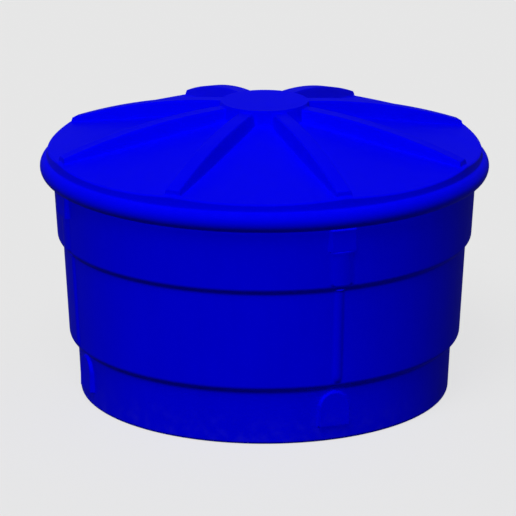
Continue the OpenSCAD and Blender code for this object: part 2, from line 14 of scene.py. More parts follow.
import bpy
import numpy as np
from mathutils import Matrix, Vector

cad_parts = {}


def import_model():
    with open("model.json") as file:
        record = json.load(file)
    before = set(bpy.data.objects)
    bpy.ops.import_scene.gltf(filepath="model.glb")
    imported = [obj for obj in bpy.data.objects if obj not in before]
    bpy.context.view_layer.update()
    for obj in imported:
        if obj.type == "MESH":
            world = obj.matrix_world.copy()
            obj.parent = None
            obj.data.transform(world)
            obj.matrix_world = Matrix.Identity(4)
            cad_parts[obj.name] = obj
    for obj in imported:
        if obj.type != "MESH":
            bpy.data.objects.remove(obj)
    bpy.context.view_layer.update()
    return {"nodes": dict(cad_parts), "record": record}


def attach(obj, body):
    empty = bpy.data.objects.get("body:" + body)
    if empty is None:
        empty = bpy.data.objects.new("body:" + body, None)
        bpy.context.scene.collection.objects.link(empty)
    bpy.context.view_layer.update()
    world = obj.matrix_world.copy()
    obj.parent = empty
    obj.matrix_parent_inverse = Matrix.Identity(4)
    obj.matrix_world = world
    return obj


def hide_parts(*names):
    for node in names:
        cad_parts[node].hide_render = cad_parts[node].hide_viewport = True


LOG = logging.getLogger("tank")
MM = 0.001


# ---------------------------------------------------------------- shapes


def smooth_min(a: np.ndarray, b: np.ndarray, k: float) -> np.ndarray:
    """Lower of two heights, rounded over a band k: min(a, b) less (k - |a - b|)^2 / 4k.

    Args:
        a: First heights.
        b: Second heights.
        k: Width of the rounding, in the same unit.

    Returns:
        The blended heights.
    """
    gap = np.maximum(k - np.abs(a - b), 0.0)
    return np.minimum(a, b) - gap * gap / (4.0 * k)


def smooth_max(a: np.ndarray, b: np.ndarray, k: float) -> np.ndarray:
    """Higher of two heights, filleted over a band k."""
    return -smooth_min(-a, -b, k)


def ease(t: np.ndarray) -> np.ndarray:
    """Smooth step from 0 to 1: 3t^2 - 2t^3 of t held between 0 and 1."""
    t = np.clip(t, 0.0, 1.0)
    return t * t * (3.0 - 2.0 * t)


def arc(cx: float, cz: float, r: float, a0: float, a1: float, n: int) -> np.ndarray:
    """Points of an arc: centre plus r times (cos a, sin a), for n + 1 angles in degrees.

    Args:
        cx: Centre, first coordinate.
        cz: Centre, second coordinate.
        r: Radius.
        a0: First angle.
        a1: Last angle.
        n: Number of steps.

    Returns:
        An (n + 1, 2) array.
    """
    a = np.radians(np.linspace(a0, a1, n + 1))
    return np.stack([cx + r * np.cos(a), cz + r * np.sin(a)], axis=1)


def run(p: Sequence[float], q: Sequence[float], n: int) -> np.ndarray:
    """n points on the straight line from p towards q, without q itself."""
    t = np.arange(n)[:, None] / n
    return np.asarray(p) * (1.0 - t) + np.asarray(q) * t


def make_object(name: str, points: np.ndarray, faces: list, sharp: float = 40.0) -> bpy.types.Object:
    """Puts points (in mm) and faces into a new smooth-shaded object at the origin.

    Args:
        name: Name of the object.
        points: (n, 3) array in mm.
        faces: Lists of point numbers, counter-clockwise from outside.
        sharp: Angle in degrees over which an edge is shaded sharp.

    Returns:
        The new object.
    """
    mesh = bpy.data.meshes.new(name)
    mesh.from_pydata((points * MM).tolist(), [], faces)
    mesh.validate()
    mesh.shade_smooth()
    mesh.set_sharp_from_angle(angle=math.radians(sharp))
    obj = bpy.data.objects.new(name, mesh)
    bpy.context.scene.collection.objects.link(obj)
    return obj


def ring_faces(rows: int, cols: int, start: int = 0) -> list:
    """Quads of a grid whose columns close on themselves: (i, j), (i+1, j), (i+1, j+1), (i, j+1)."""
    i, j = np.meshgrid(np.arange(rows - 1), np.arange(cols), indexing="ij")
    k = (j + 1) % cols
    quads = np.stack([i * cols + j, (i + 1) * cols + j, (i + 1) * cols + k, i * cols + k], axis=-1)
    return (quads.reshape(-1, 4) + start).tolist()


def closed_surface(name: str, grid: np.ndarray, sharp: float = 40.0) -> bpy.types.Object:
    """A closed skin from a (rows, cols, 3) grid whose first and last rows shrink to one point each.

    Args:
        name: Name of the object.
        grid: Rows of points, each row a loop.
        sharp: Angle in degrees over which an edge is shaded sharp.

    Returns:
        The new object.
    """
    rows, cols = grid.shape[:2]
    body = grid[1:-1].reshape(-1, 3)
    first, last = grid[0].mean(axis=0), grid[-1].mean(axis=0)
    n = len(body)
    faces = ring_faces(rows - 2, cols)
    j = np.arange(cols)
    k = (j + 1) % cols
    faces += np.stack([np.full(cols, n), j, k], axis=1).tolist()
    tail = (rows - 3) * cols
    faces += np.stack([np.full(cols, n + 1), tail + k, tail + j], axis=1).tolist()
    return make_object(name, np.vstack([body, first[None], last[None]]), faces, sharp)


@dataclass(frozen=True)
class Port:
    """A fitting's own axes: local Z points out of the tank, Y up, X along the wall.

    Args:
        azimuth: Degrees from -Y towards +X.
        height: Height of the axis over the floor, mm.
    """

    azimuth: float
    height: float

    def place(self, local: np.ndarray) -> np.ndarray:
        """Turns local (x, y, z) into the tank's frame: x times the tangent, y up, z times the outward ray."""
        a = math.radians(self.azimuth)
        tangent = np.array([math.cos(a), math.sin(a), 0.0])
        outward = np.array([math.sin(a), -math.cos(a), 0.0])
        base = local[:, :1] * tangent + local[:, 2:3] * outward
        return base + np.stack([0 * local[:, 1], 0 * local[:, 1], local[:, 1] + self.height], axis=1)


# ---------------------------------------------------------------- node groups


def group_tree(name: str, inputs: Sequence[tuple], outputs: Sequence[tuple]) -> tuple:
    """Starts a shader node group.

    Args:
        name: Name of the group.
        inputs: (name, socket type, default) of each input.
        outputs: (name, socket type) of each output.

    Returns:
        The tree, its input node and its output node.
    """
    tree = bpy.data.node_groups.new(name, "ShaderNodeTree")
    for label, kind, value in inputs:
        socket = tree.interface.new_socket(label, in_out="INPUT", socket_type=kind)
        if value is not None:
            socket.default_value = value
    for label, kind in outputs:
        tree.interface.new_socket(label, in_out="OUTPUT", socket_type=kind)
    return tree, tree.nodes.new("NodeGroupInput"), tree.nodes.new("NodeGroupOutput")


def add(tree: bpy.types.NodeTree, kind: str, inputs: dict | None = None,
        **settings: object) -> bpy.types.Node:
    """Adds a node, sets its properties and fills or links its inputs.

    Args:
        tree: The node tree.
        kind: Node type.
        inputs: Input name or number to a value, or to a socket to link.
        settings: Properties of the node.

    Returns:
        The node.
    """
    node = tree.nodes.new(kind)
    for key, value in settings.items():
        setattr(node, key, value)
    for key, value in (inputs or {}).items():
        if isinstance(value, bpy.types.NodeSocket):
            tree.links.new(value, node.inputs[key])
        else:
            node.inputs[key].default_value = value
    return node


def blend_colour(tree: bpy.types.NodeTree, mask: object, low: object,
                 high: object) -> bpy.types.NodeSocket:
    """Mixes two colours by a mask and returns the colour's socket."""
    node = add(tree, "ShaderNodeMix", data_type="RGBA")
    for key, value in ((0, mask), (6, low), (7, high)):
        if isinstance(value, bpy.types.NodeSocket):
            tree.links.new(value, node.inputs[key])
        else:
            node.inputs[key].default_value = value
    return node.outputs[2]


def moulded_skin_group() -> bpy.types.NodeTree:
    """Rotationally moulded plastic: cloudy tone, fine orange-peel grain and faint upright flow streaks.

    Returns:
        The group, with Color, Roughness and Height outputs.
    """
    tree, gin, gout = group_tree(
        "moulded_skin",
        [("Vector", "NodeSocketVector", None), ("Deep", "NodeSocketColor", (0, 0, 0.6, 1)),
         ("Light", "NodeSocketColor", (0, 0, 0.8, 1)), ("Gloss", "NodeSocketFloat", 0.4),
         ("Grain", "NodeSocketFloat", 900.0), ("Streaks", "NodeSocketFloat", 0.3)],
        [("Color", "NodeSocketColor"), ("Roughness", "NodeSocketFloat"), ("Height", "NodeSocketFloat")])
    vec = gin.outputs["Vector"]
    cloud = add(tree, "ShaderNodeTexNoise", {"Vector": vec, "Scale": 3.2, "Detail": 4.0, "Roughness": 0.6})
    squash = add(tree, "ShaderNodeMapping", {"Vector": vec, "Scale": (26.0, 26.0, 0.9)})
    streak = add(tree, "ShaderNodeTexNoise", {"Vector": squash.outputs[0], "Scale": 1.0, "Detail": 5.0})
    tone = add(tree, "ShaderNodeMath", {0: streak.outputs[0], 1: gin.outputs["Streaks"]},
               operation="MULTIPLY")
    both = add(tree, "ShaderNodeMath", {0: cloud.outputs[0], 1: tone.outputs[0]}, operation="ADD")
    ramp = add(tree, "ShaderNodeMapRange", {0: both.outputs[0], 1: 0.42, 2: 0.92, 3: 0.0, 4: 1.0})
    colour = blend_colour(tree, ramp.outputs[0], gin.outputs["Deep"], gin.outputs["Light"])
    peel = add(tree, "ShaderNodeTexNoise", {"Vector": vec, "Scale": gin.outputs["Grain"], "Detail": 2.0})
    wave = add(tree, "ShaderNodeTexNoise", {"Vector": vec, "Scale": 9.0, "Detail": 1.0})
    height = add(tree, "ShaderNodeMath", {0: wave.outputs[0], 1: 2.2, 2: peel.outputs[0]},
                 operation="MULTIPLY_ADD")
    rough = add(tree, "ShaderNodeMath", {0: cloud.outputs[0], 1: 0.16, 2: gin.outputs["Gloss"]},
                operation="MULTIPLY_ADD")
    tree.links.new(colour, gout.inputs["Color"])
    tree.links.new(rough.outputs[0], gout.inputs["Roughness"])
    tree.links.new(height.outputs[0], gout.inputs["Height"])
    return tree


def yard_dust_group() -> bpy.types.NodeTree:
    """Dust and splashes: more near the floor and on surfaces that face up, broken up by noise.

    Returns:
        The group, with Color and Mask outputs.
    """
    tree, gin, gout = group_tree(
        "yard_dust",
        [("Vector", "NodeSocketVector", None), ("Normal", "NodeSocketVector", None),
         ("Color", "NodeSocketColor", (0, 0, 0.6, 1)), ("Dust", "NodeSocketColor", (0.3, 0.27, 0.22, 1)),
         ("Amount", "NodeSocketFloat", 0.1), ("Reach", "NodeSocketFloat", 0.12)],
        [("Color", "NodeSocketColor"), ("Mask", "NodeSocketFloat")])
    parts = add(tree, "ShaderNodeSeparateXYZ", {0: gin.outputs["Vector"]})
    up = add(tree, "ShaderNodeSeparateXYZ", {0: gin.outputs["Normal"]})
    low = add(tree, "ShaderNodeMapRange",
              {0: parts.outputs[2], 1: 0.0, 2: gin.outputs["Reach"], 3: 1.0, 4: 0.0})
    face_up = add(tree, "ShaderNodeMapRange", {0: up.outputs[2], 1: 0.5, 2: 1.0, 3: 0.0, 4: 0.35})
    noise = add(tree, "ShaderNodeTexNoise", {"Vector": gin.outputs["Vector"], "Scale": 34.0, "Detail": 6.0})
    spots = add(tree, "ShaderNodeMapRange", {0: noise.outputs[0], 1: 0.45, 2: 0.75, 3: 0.0, 4: 1.0})
    total = add(tree, "ShaderNodeMath", {0: low.outputs[0], 1: face_up.outputs[0]}, operation="ADD")
    mask = add(tree, "ShaderNodeMath", {0: total.outputs[0], 1: spots.outputs[0]}, operation="MULTIPLY")
    scaled = add(tree, "ShaderNodeMath", {0: mask.outputs[0], 1: gin.outputs["Amount"]}, operation="MULTIPLY",
                 use_clamp=True)
    colour = blend_colour(tree, scaled.outputs[0], gin.outputs["Color"], gin.outputs["Dust"])
    tree.links.new(colour, gout.inputs["Color"])
    tree.links.new(scaled.outputs[0], gout.inputs["Mask"])
    return tree


def drawn_metal_group() -> bpy.types.NodeTree:
    """Machined metal: fine turning lines along local rings, blotchy tarnish and a little uneven gloss.

    Returns:
        The group, with Color, Roughness and Height outputs.
    """
    tree, gin, gout = group_tree(
        "drawn_metal",
        [("Vector", "NodeSocketVector", None), ("Bright", "NodeSocketColor", (0.7, 0.7, 0.7, 1)),
         ("Tarnish", "NodeSocketColor", (0.4, 0.4, 0.4, 1)), ("Gloss", "NodeSocketFloat", 0.25)],
        [("Color", "NodeSocketColor"), ("Roughness", "NodeSocketFloat"), ("Height", "NodeSocketFloat")])
    blotch = add(tree, "ShaderNodeTexNoise", {"Vector": gin.outputs["Vector"], "Scale": 42.0, "Detail": 5.0})
    lines = add(tree, "ShaderNodeMapping", {"Vector": gin.outputs["Vector"], "Scale": (90.0, 2400.0, 1500.0)})
    turning = add(tree, "ShaderNodeTexNoise", {"Vector": lines.outputs[0], "Scale": 1.0, "Detail": 2.0})
    spots = add(tree, "ShaderNodeMapRange", {0: blotch.outputs[0], 1: 0.45, 2: 0.7, 3: 0.0, 4: 0.8})
    colour = blend_colour(tree, spots.outputs[0], gin.outputs["Bright"], gin.outputs["Tarnish"])
    rough = add(tree, "ShaderNodeMath", {0: turning.outputs[0], 1: 0.22, 2: gin.outputs["Gloss"]},
                operation="MULTIPLY_ADD")
    tree.links.new(colour, gout.inputs["Color"])
    tree.links.new(rough.outputs[0], gout.inputs["Roughness"])
    tree.links.new(turning.outputs[0], gout.inputs["Height"])
    return tree


class Shared:
    """The node groups that more than one finish uses, each built once."""

    _made: dict = {}
    _makers: dict = {"skin": moulded_skin_group, "dust": yard_dust_group, "metal": drawn_metal_group}

    @classmethod
    def get(cls, key: str) -> bpy.types.NodeTree:
        """The group of that name, built the first time that it is asked for."""
        if key not in cls._made:
            cls._made[key] = cls._makers[key]()
        return cls._made[key]


def start_material(name: str) -> tuple:
    """A new material with its tree, its main shader and the Object coordinates.

    Args:
        name: Name of the material.

    Returns:
        The material, its tree, the Principled shader and the coordinate socket.
    """
    mat = bpy.data.materials.new(name)
    mat.use_nodes = True
    tree = mat.node_tree
    shader = tree.nodes["Principled BSDF"]
    coords = tree.nodes.new("ShaderNodeTexCoord").outputs["Object"]
    return mat, tree, shader, coords


def bump(tree: bpy.types.NodeTree, shader: bpy.types.Node, height: object, strength: float,
         depth: float) -> None:
    """Feeds a height through a Bump node into the shader's Normal."""
    node = add(tree, "ShaderNodeBump", {"Height": height, "Strength": strength, "Distance": depth})
    tree.links.new(node.outputs[0], shader.inputs["Normal"])


@dataclass(frozen=True)
class Plastic:
    """Moulded plastic.

    Args:
        name: Name of the material.
        deep: Colour where the cloudy tone is deepest.
        light: Colour where it is lightest.
        gloss: Lowest roughness.
        grain: Scale of the orange peel.
        grain_depth: Depth of the orange peel, m.
        streaks: Share of upright flow streaks.
        dust: Amount of dust.
        tint: Colour of the sheen.
        sheen: Strength of the mirror-like reflection.
    """

    name: str
    deep: tuple
    light: tuple
    gloss: float = 0.42
    grain: float = 700.0
    grain_depth: float = 0.0006
    streaks: float = 0.3
    dust: float = 0.1
    tint: tuple = (1.0, 1.0, 1.0, 1.0)
    sheen: float = 0.5

    def material(self) -> bpy.types.Material:
        """Builds the material."""
        mat, tree, shader, coords = start_material(self.name)
        skin = add(tree, "ShaderNodeGroup", node_tree=Shared.get("skin"))
        tree.links.new(coords, skin.inputs["Vector"])
        skin.inputs["Deep"].default_value = (*self.deep, 1.0)
        skin.inputs["Light"].default_value = (*self.light, 1.0)
        skin.inputs["Gloss"].default_value = self.gloss
        skin.inputs["Grain"].default_value = self.grain
        skin.inputs["Streaks"].default_value = self.streaks
        normal = tree.nodes.new("ShaderNodeNewGeometry").outputs["Normal"]
        dust = add(tree, "ShaderNodeGroup", node_tree=Shared.get("dust"))
        tree.links.new(coords, dust.inputs["Vector"])
        tree.links.new(normal, dust.inputs["Normal"])
        tree.links.new(skin.outputs["Color"], dust.inputs["Color"])
        dust.inputs["Amount"].default_value = self.dust
        tree.links.new(dust.outputs["Color"], shader.inputs["Base Color"])
        rough = add(tree, "ShaderNodeMath", {0: dust.outputs["Mask"], 1: 0.4, 2: skin.outputs["Roughness"]},
                    operation="MULTIPLY_ADD")
        tree.links.new(rough.outputs[0], shader.inputs["Roughness"])
        shader.inputs["Specular Tint"].default_value = self.tint
        shader.inputs["Specular IOR Level"].default_value = self.sheen
        bump(tree, shader, skin.outputs["Height"], 0.35, self.grain_depth)
        return mat


@dataclass(frozen=True)
class Metal:
    """Machined or drawn metal.

    Args:
        name: Name of the material.
        bright: Clean colour.
        tarnish: Colour of the dull blotches.
        gloss: Lowest roughness.
    """

    name: str
    bright: tuple
    tarnish: tuple
    gloss: float = 0.22

    def material(self) -> bpy.types.Material:
        """Builds the material."""
        mat, tree, shader, coords = start_material(self.name)
        metal = add(tree, "ShaderNodeGroup", node_tree=Shared.get("metal"))
        tree.links.new(coords, metal.inputs["Vector"])
        metal.inputs["Bright"].default_value = (*self.bright, 1.0)
        metal.inputs["Tarnish"].default_value = (*self.tarnish, 1.0)
        metal.inputs["Gloss"].default_value = self.gloss
        tree.links.new(metal.outputs["Color"], shader.inputs["Base Color"])
        tree.links.new(metal.outputs["Roughness"], shader.inputs["Roughness"])
        shader.inputs["Metallic"].default_value = 1.0
        bump(tree, shader, metal.outputs["Height"], 0.12, 0.0002)
        return mat


@dataclass(frozen=True)
class Floor:
    """Pale matt studio floor that glows evenly to the eye, so that only soft shadows show on it."""

    name: str = "studio_floor"
    tone: float = 0.12
    glow: float = 0.585

    def material(self) -> bpy.types.Material:
        """Builds the material."""
        mat, tree, shader, coords = start_material(self.name)
        noise = add(tree, "ShaderNodeTexNoise", {"Vector": coords, "Scale": 1.5, "Detail": 3.0})
        low = (self.tone * 0.98,) * 3 + (1.0,)
        high = (self.tone,) * 3 + (1.0,)
        path = tree.nodes.new("ShaderNodeLightPath").outputs["Is Camera Ray"]
        seen = (0.23, 0.23, 0.23, 1.0)
        lit = blend_colour(tree, noise.outputs[0], low, high)
        tree.links.new(blend_colour(tree, path, lit, seen), shader.inputs["Base Color"])
        tree.links.new(path, shader.inputs["Emission Strength"])
        shader.inputs["Emission Color"].default_value = (self.glow,) * 3 + (1.0,)
        shader.inputs["Roughness"].default_value = 1.0
        shader.inputs["Specular IOR Level"].default_value = 0.0
        return mat


BLUE_SHEEN = (0.02, 0.03, 1.0, 1.0)


class Finish(Enum):
    """Every finish, by the record's material slot."""

    TANK = Plastic("tank_blue", (0.0, 0.0, 0.80), (0.0, 0.0, 0.86), 0.46, 620.0, 0.0004, 0.35, 0.02,
                   BLUE_SHEEN, 0.03)
    LID = Plastic("lid_blue", (0.0, 0.0, 0.82), (0.0, 0.0, 0.88), 0.42, 620.0, 0.0004, 0.1, 0.01,
                  BLUE_SHEEN, 0.03)
    FITTING = Plastic("fitting_black", (0.012, 0.012, 0.014), (0.03, 0.03, 0.032), 0.38, 1500.0, 0.0003,
                      0.1, 0.25)
    RUBBER = Plastic("gasket_rubber", (0.008, 0.008, 0.008), (0.018, 0.018, 0.018), 0.7, 1900.0, 0.0004,
                     0.1, 0.3, (1.0, 1.0, 1.0, 1.0), 0.25)
    VALVE = Plastic("valve_grey", (0.11, 0.115, 0.125), (0.16, 0.165, 0.175), 0.4, 1300.0, 0.0003, 0.1, 0.2)
    SEAT = Plastic("seat_white", (0.72, 0.72, 0.70), (0.82, 0.82, 0.8), 0.35, 1500.0, 0.0002, 0.1, 0.0)
    FLOAT = Plastic("float_orange", (0.75, 0.10, 0.01), (0.86, 0.15, 0.02), 0.28, 1100.0, 0.0003, 0.2, 0.0)
    GRIP = Plastic("grip_blue", (0.0, 0.02, 0.30), (0.01, 0.04, 0.42), 0.55, 1700.0, 0.0004, 0.1, 0.1)
    BRASS = Metal("brass", (0.80, 0.58, 0.24), (0.42, 0.26, 0.10), 0.24)
    STEEL = Metal("stainless", (0.66, 0.67, 0.68), (0.44, 0.44, 0.45), 0.24)

    def material(self) -> bpy.types.Material:
        """The finish's material, built the first time that it is asked for."""
        found = bpy.data.materials.get(self.value.name)
        return found or self.value.material()


SLOT_FINISH = {
    "tank_plastic": Finish.TANK, "lid_plastic": Finish.LID, "fitting_plastic": Finish.FITTING,
    "rubber": Finish.RUBBER, "brass": Finish.BRASS, "steel": Finish.STEEL, "seat_plastic": Finish.SEAT,
    "valve_plastic": Finish.VALVE, "float_plastic": Finish.FLOAT, "grip_plastic": Finish.GRIP,
}


def dress(obj: bpy.types.Object, finish: Finish) -> None:
    """Gives an object one finish in place of whatever it has."""
    obj.data.materials.clear()
    obj.data.materials.append(finish.material())


# ---------------------------------------------------------------- tank shell


@dataclass
class TankShell:
    """The stepped shell with its four moulded stations.

    Args:
        rim_r, rim_z: Outer radius and height of the rim.
        bends: Height and radius of each point where a straight taper starts or ends.
        steps: The S-curve of each step, the upper first: centre of its outer curve as (radius, height),
            centre of its inner curve, radius of both, and degrees that each turns.
        foot: Radius of the rounded foot.
        wall: Thickness of the wall and floor.
        flange_r: Radius of the rim's flange.
        station_az: Azimuth of the first station, degrees.
        boss: The upper boss: half width, foot, top, distance of its face from the axis.
        pad: The lower pad: half width, foot, centre of its arched top, distance of its face.
        ridges: Each rib in the bands: half width, height it stands out, foot, top.
        holes: Each port hole: azimuth, height, radius.
    """

    rim_r: float = 690.5
    rim_z: float = 802.0
    bends: tuple = ((12.0, 607.0), (167.84, 614.0), (206.16, 642.5), (504.13, 657.5), (535.87, 676.5),
                    (787.5, 690.5))
    steps: tuple = ((658.5, 535.87, 675.5, 504.13, 18.0, 61.8), (622.5, 206.16, 634.0, 167.84, 20.0, 73.3))
    foot: float = 12.0
    wall: float = 8.0
    flange_r: float = 693.0
    station_az: float = 22.5
    boss: tuple = (43.0, 646.0, 720.0, 696.686)
    pad: tuple = (50.5, 52.0, 118.0, 623.132)
    ridges: tuple = ((37.5, 6.0, 531.0, 648.0), (15.0, 6.0, 202.0, 519.5))
    holes: tuple = ((202.5, 683.0, 17.4), (202.5, 104.0, 17.4), (112.5, 683.0, 24.8),
                    (112.5, 104.0, 24.8))

    def wall_radius(self, z: np.ndarray) -> np.ndarray:
        """Radius of the plain wall: straight tapers between its bends."""
        heights, radii = np.array(self.bends).T
        return np.interp(z, heights, radii)

    def step(self, index: int, inset: float) -> np.ndarray:
        """One step from its top down: two opposite curves, moved inwards by the inset."""
        out_r, out_z, in_r, in_z, radius, turn = self.steps[index]
        return np.vstack([arc(out_r, out_z, radius - inset, 0, -turn, 9),
                          arc(in_r, in_z, radius + inset, 187 - turn, 180, 8)])

    def outline(self) -> np.ndarray:
        """The wall's outside from the rim's top down to the bottom's middle, as (radius, height)."""
        foot_r = self.bends[0][1] - self.foot
        return np.vstack([
            arc(self.flange_r - 1.5, self.rim_z - 1.5, 1.5, 90, 0, 4),
            run((self.flange_r, self.rim_z - 3), (self.flange_r, 791), 3),
            np.array([[self.flange_r, 790.5], [self.flange_r - 0.8, 788.8]]),
            self.straight(787.0, 724.0, 6), self.straight(724.0, 716.0, 6), self.straight(716.0, 650.0, 16),
            self.straight(650.0, 642.0, 6), self.straight(642.0, 537.0, 14),
            self.step(0, 0.0), self.straight(502.0, 208.0, 26),
            self.step(1, 0.0), self.straight(166.0, 40.0, 50), self.straight(40.0, 14.0, 5),
            arc(foot_r, self.foot, self.foot, 0, -90, 9),
            run((560.0, 0.0), (30.0, 0.0), 6), np.array([[1.0, 0.0], [0.0, 0.0]]),
        ])

    def straight(self, z0: float, z1: float, n: int) -> np.ndarray:
        """n points down the plain wall from z0 towards z1."""
        z = z0 + (z1 - z0) * np.arange(n) / n
        return np.stack([self.wall_radius(z), z], axis=1)

    def inline(self) -> np.ndarray:
        """The inside from the floor's middle up to the rim's top, as (radius, height)."""
        t = self.wall
        foot_r = self.bends[0][1] - self.foot

        def up(z0: float, z1: float, n: int) -> np.ndarray:
            return self.straight(z0, z1, n) - np.array([t, 0.0])

        return np.vstack([
            np.array([[0.0, t], [1.0, t]]), run((30.0, t), (575.0, t), 6),
            arc(foot_r, self.foot, self.foot - t, -90, 0, 6), up(14.0, 166.0, 8),
            self.step(1, t)[::-1], up(208.0, 502.0, 10),
            self.step(0, t)[::-1], up(538.0, 788.0, 8),
            arc(self.rim_r - t + 1.5, self.rim_z - 1.5, 1.5, 180, 90, 4),
        ])

    def columns(self) -> np.ndarray:
        """Angles round the tank: close together over each station, wide apart between them."""
        near = np.linspace(-0.098, 0.098, 57)
        far = np.linspace(0.098, math.pi / 2 - 0.098, 30)[1:-1]
        first = np.concatenate([near, far])
        start = math.radians(self.station_az)
        return np.concatenate([start + k * math.pi / 2 + first for k in range(4)])

    def stand_out(self, angle: np.ndarray, z: np.ndarray, r: np.ndarray) -> np.ndarray:
        """How far the stations push the wall out.

        Each flat face is a plane at a set distance, so its radius is that distance over the cosine of the
        angle from the station. It is faded in over its outline by an eased distance to the edge.

        Args:
            angle: Angle from the nearest station, radians.
            z: Height, mm.
            r: Plain radius, mm.

        Returns:
            The new radius, mm.
        """
        x = r * np.sin(angle)
        out = r.copy()
        for half, proud, z0, z1 in self.ridges:
            crown = (half * half + proud * proud) / (2 * proud)
            level = r + proud - x * x / (2 * crown)
            inside = ease((z - z0) / 5.0) * ease((z1 - z) / 5.0)
            out = smooth_max(out, r + (level - r) * inside - 40.0 * (1 - inside), 2.5)
        half, z0, z1, face = self.boss
        edge = np.minimum(np.minimum(half - np.abs(x), z - z0), z1 - z)
        out = out + (np.maximum(face / np.cos(angle), out) - out) * ease((edge + 1.0) / 4.0)
        half, z0, z1, face = self.pad
        flat = np.minimum(half - np.abs(x), z - z0)
        edge = np.where(z < z1, flat, half - np.hypot(x, z - z1))
        return out + (np.maximum(face / np.cos(angle), out) - out) * ease((edge + 1.0) / 4.5)

    def build(self) -> bpy.types.Object:
        """Builds the closed shell: inside up, over the rim, outside down, with the four port holes cut."""
        theta = self.columns()
        inner, outer = self.inline(), self.outline()
        quarter = math.pi / 2
        start = math.radians(self.station_az)
        from_station = np.mod(theta - start + quarter / 2, quarter) - quarter / 2
        rows = []
        for profile, worked in ((inner, False), (outer, True)):
            r = np.repeat(profile[:, :1], len(theta), axis=1)
            z = np.repeat(profile[:, 1:], len(theta), axis=1)
            if worked:
                r = np.where(r > 560.0, self.stand_out(from_station[None, :] + 0 * r, z, r), r)
            rows.append(np.stack([r * np.sin(theta), -r * np.cos(theta), z], axis=-1))
        shell = closed_surface("tank_shell", np.concatenate(rows, axis=0), 50.0)
        self.cut_holes(shell)
        return shell

    def cut_holes(self, shell: bpy.types.Object) -> None:
        """Cuts the round port holes through the wall and applies the cut."""
        points, faces, count = [], [], 0
        n = 64
        for azimuth, height, radius in self.holes:
            a = np.linspace(0, 2 * math.pi, n, endpoint=False)
            ring = np.stack([radius * np.cos(a), radius * np.sin(a)], axis=1)
            local = np.vstack([np.c_[ring, np.full(n, 570.0)], np.c_[ring, np.full(n, 760.0)]])
            points.append(Port(azimuth, height).place(local))
            j = np.arange(n)
            k = (j + 1) % n
            faces += (np.stack([j, k, k + n, j + n], axis=1) + count).tolist()
            faces += [(j[::-1] + count).tolist(), (j + n + count).tolist()]
            count += 2 * n
        cutter = make_object("port_cutter", np.vstack(points), faces)
        mod = shell.modifiers.new("ports", "BOOLEAN")
        mod.object = cutter
        mod.solver = "EXACT"
        graph = bpy.context.evaluated_depsgraph_get()
        cut = bpy.data.meshes.new_from_object(shell.evaluated_get(graph))
        shell.modifiers.clear()
        old = shell.data
        shell.data = cut
        cut.shade_smooth()
        cut.set_sharp_from_angle(angle=math.radians(50))
        bpy.data.meshes.remove(old)
        bpy.data.objects.remove(cutter)

    def dress(self, shell: bpy.types.Object) -> None:
        """Finishes the shell, ties it to its body and hides the node that it stands in for."""
        dress(shell, Finish.TANK)
        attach(shell, "tank")
        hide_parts("tank_body")


# ---------------------------------------------------------------- lid


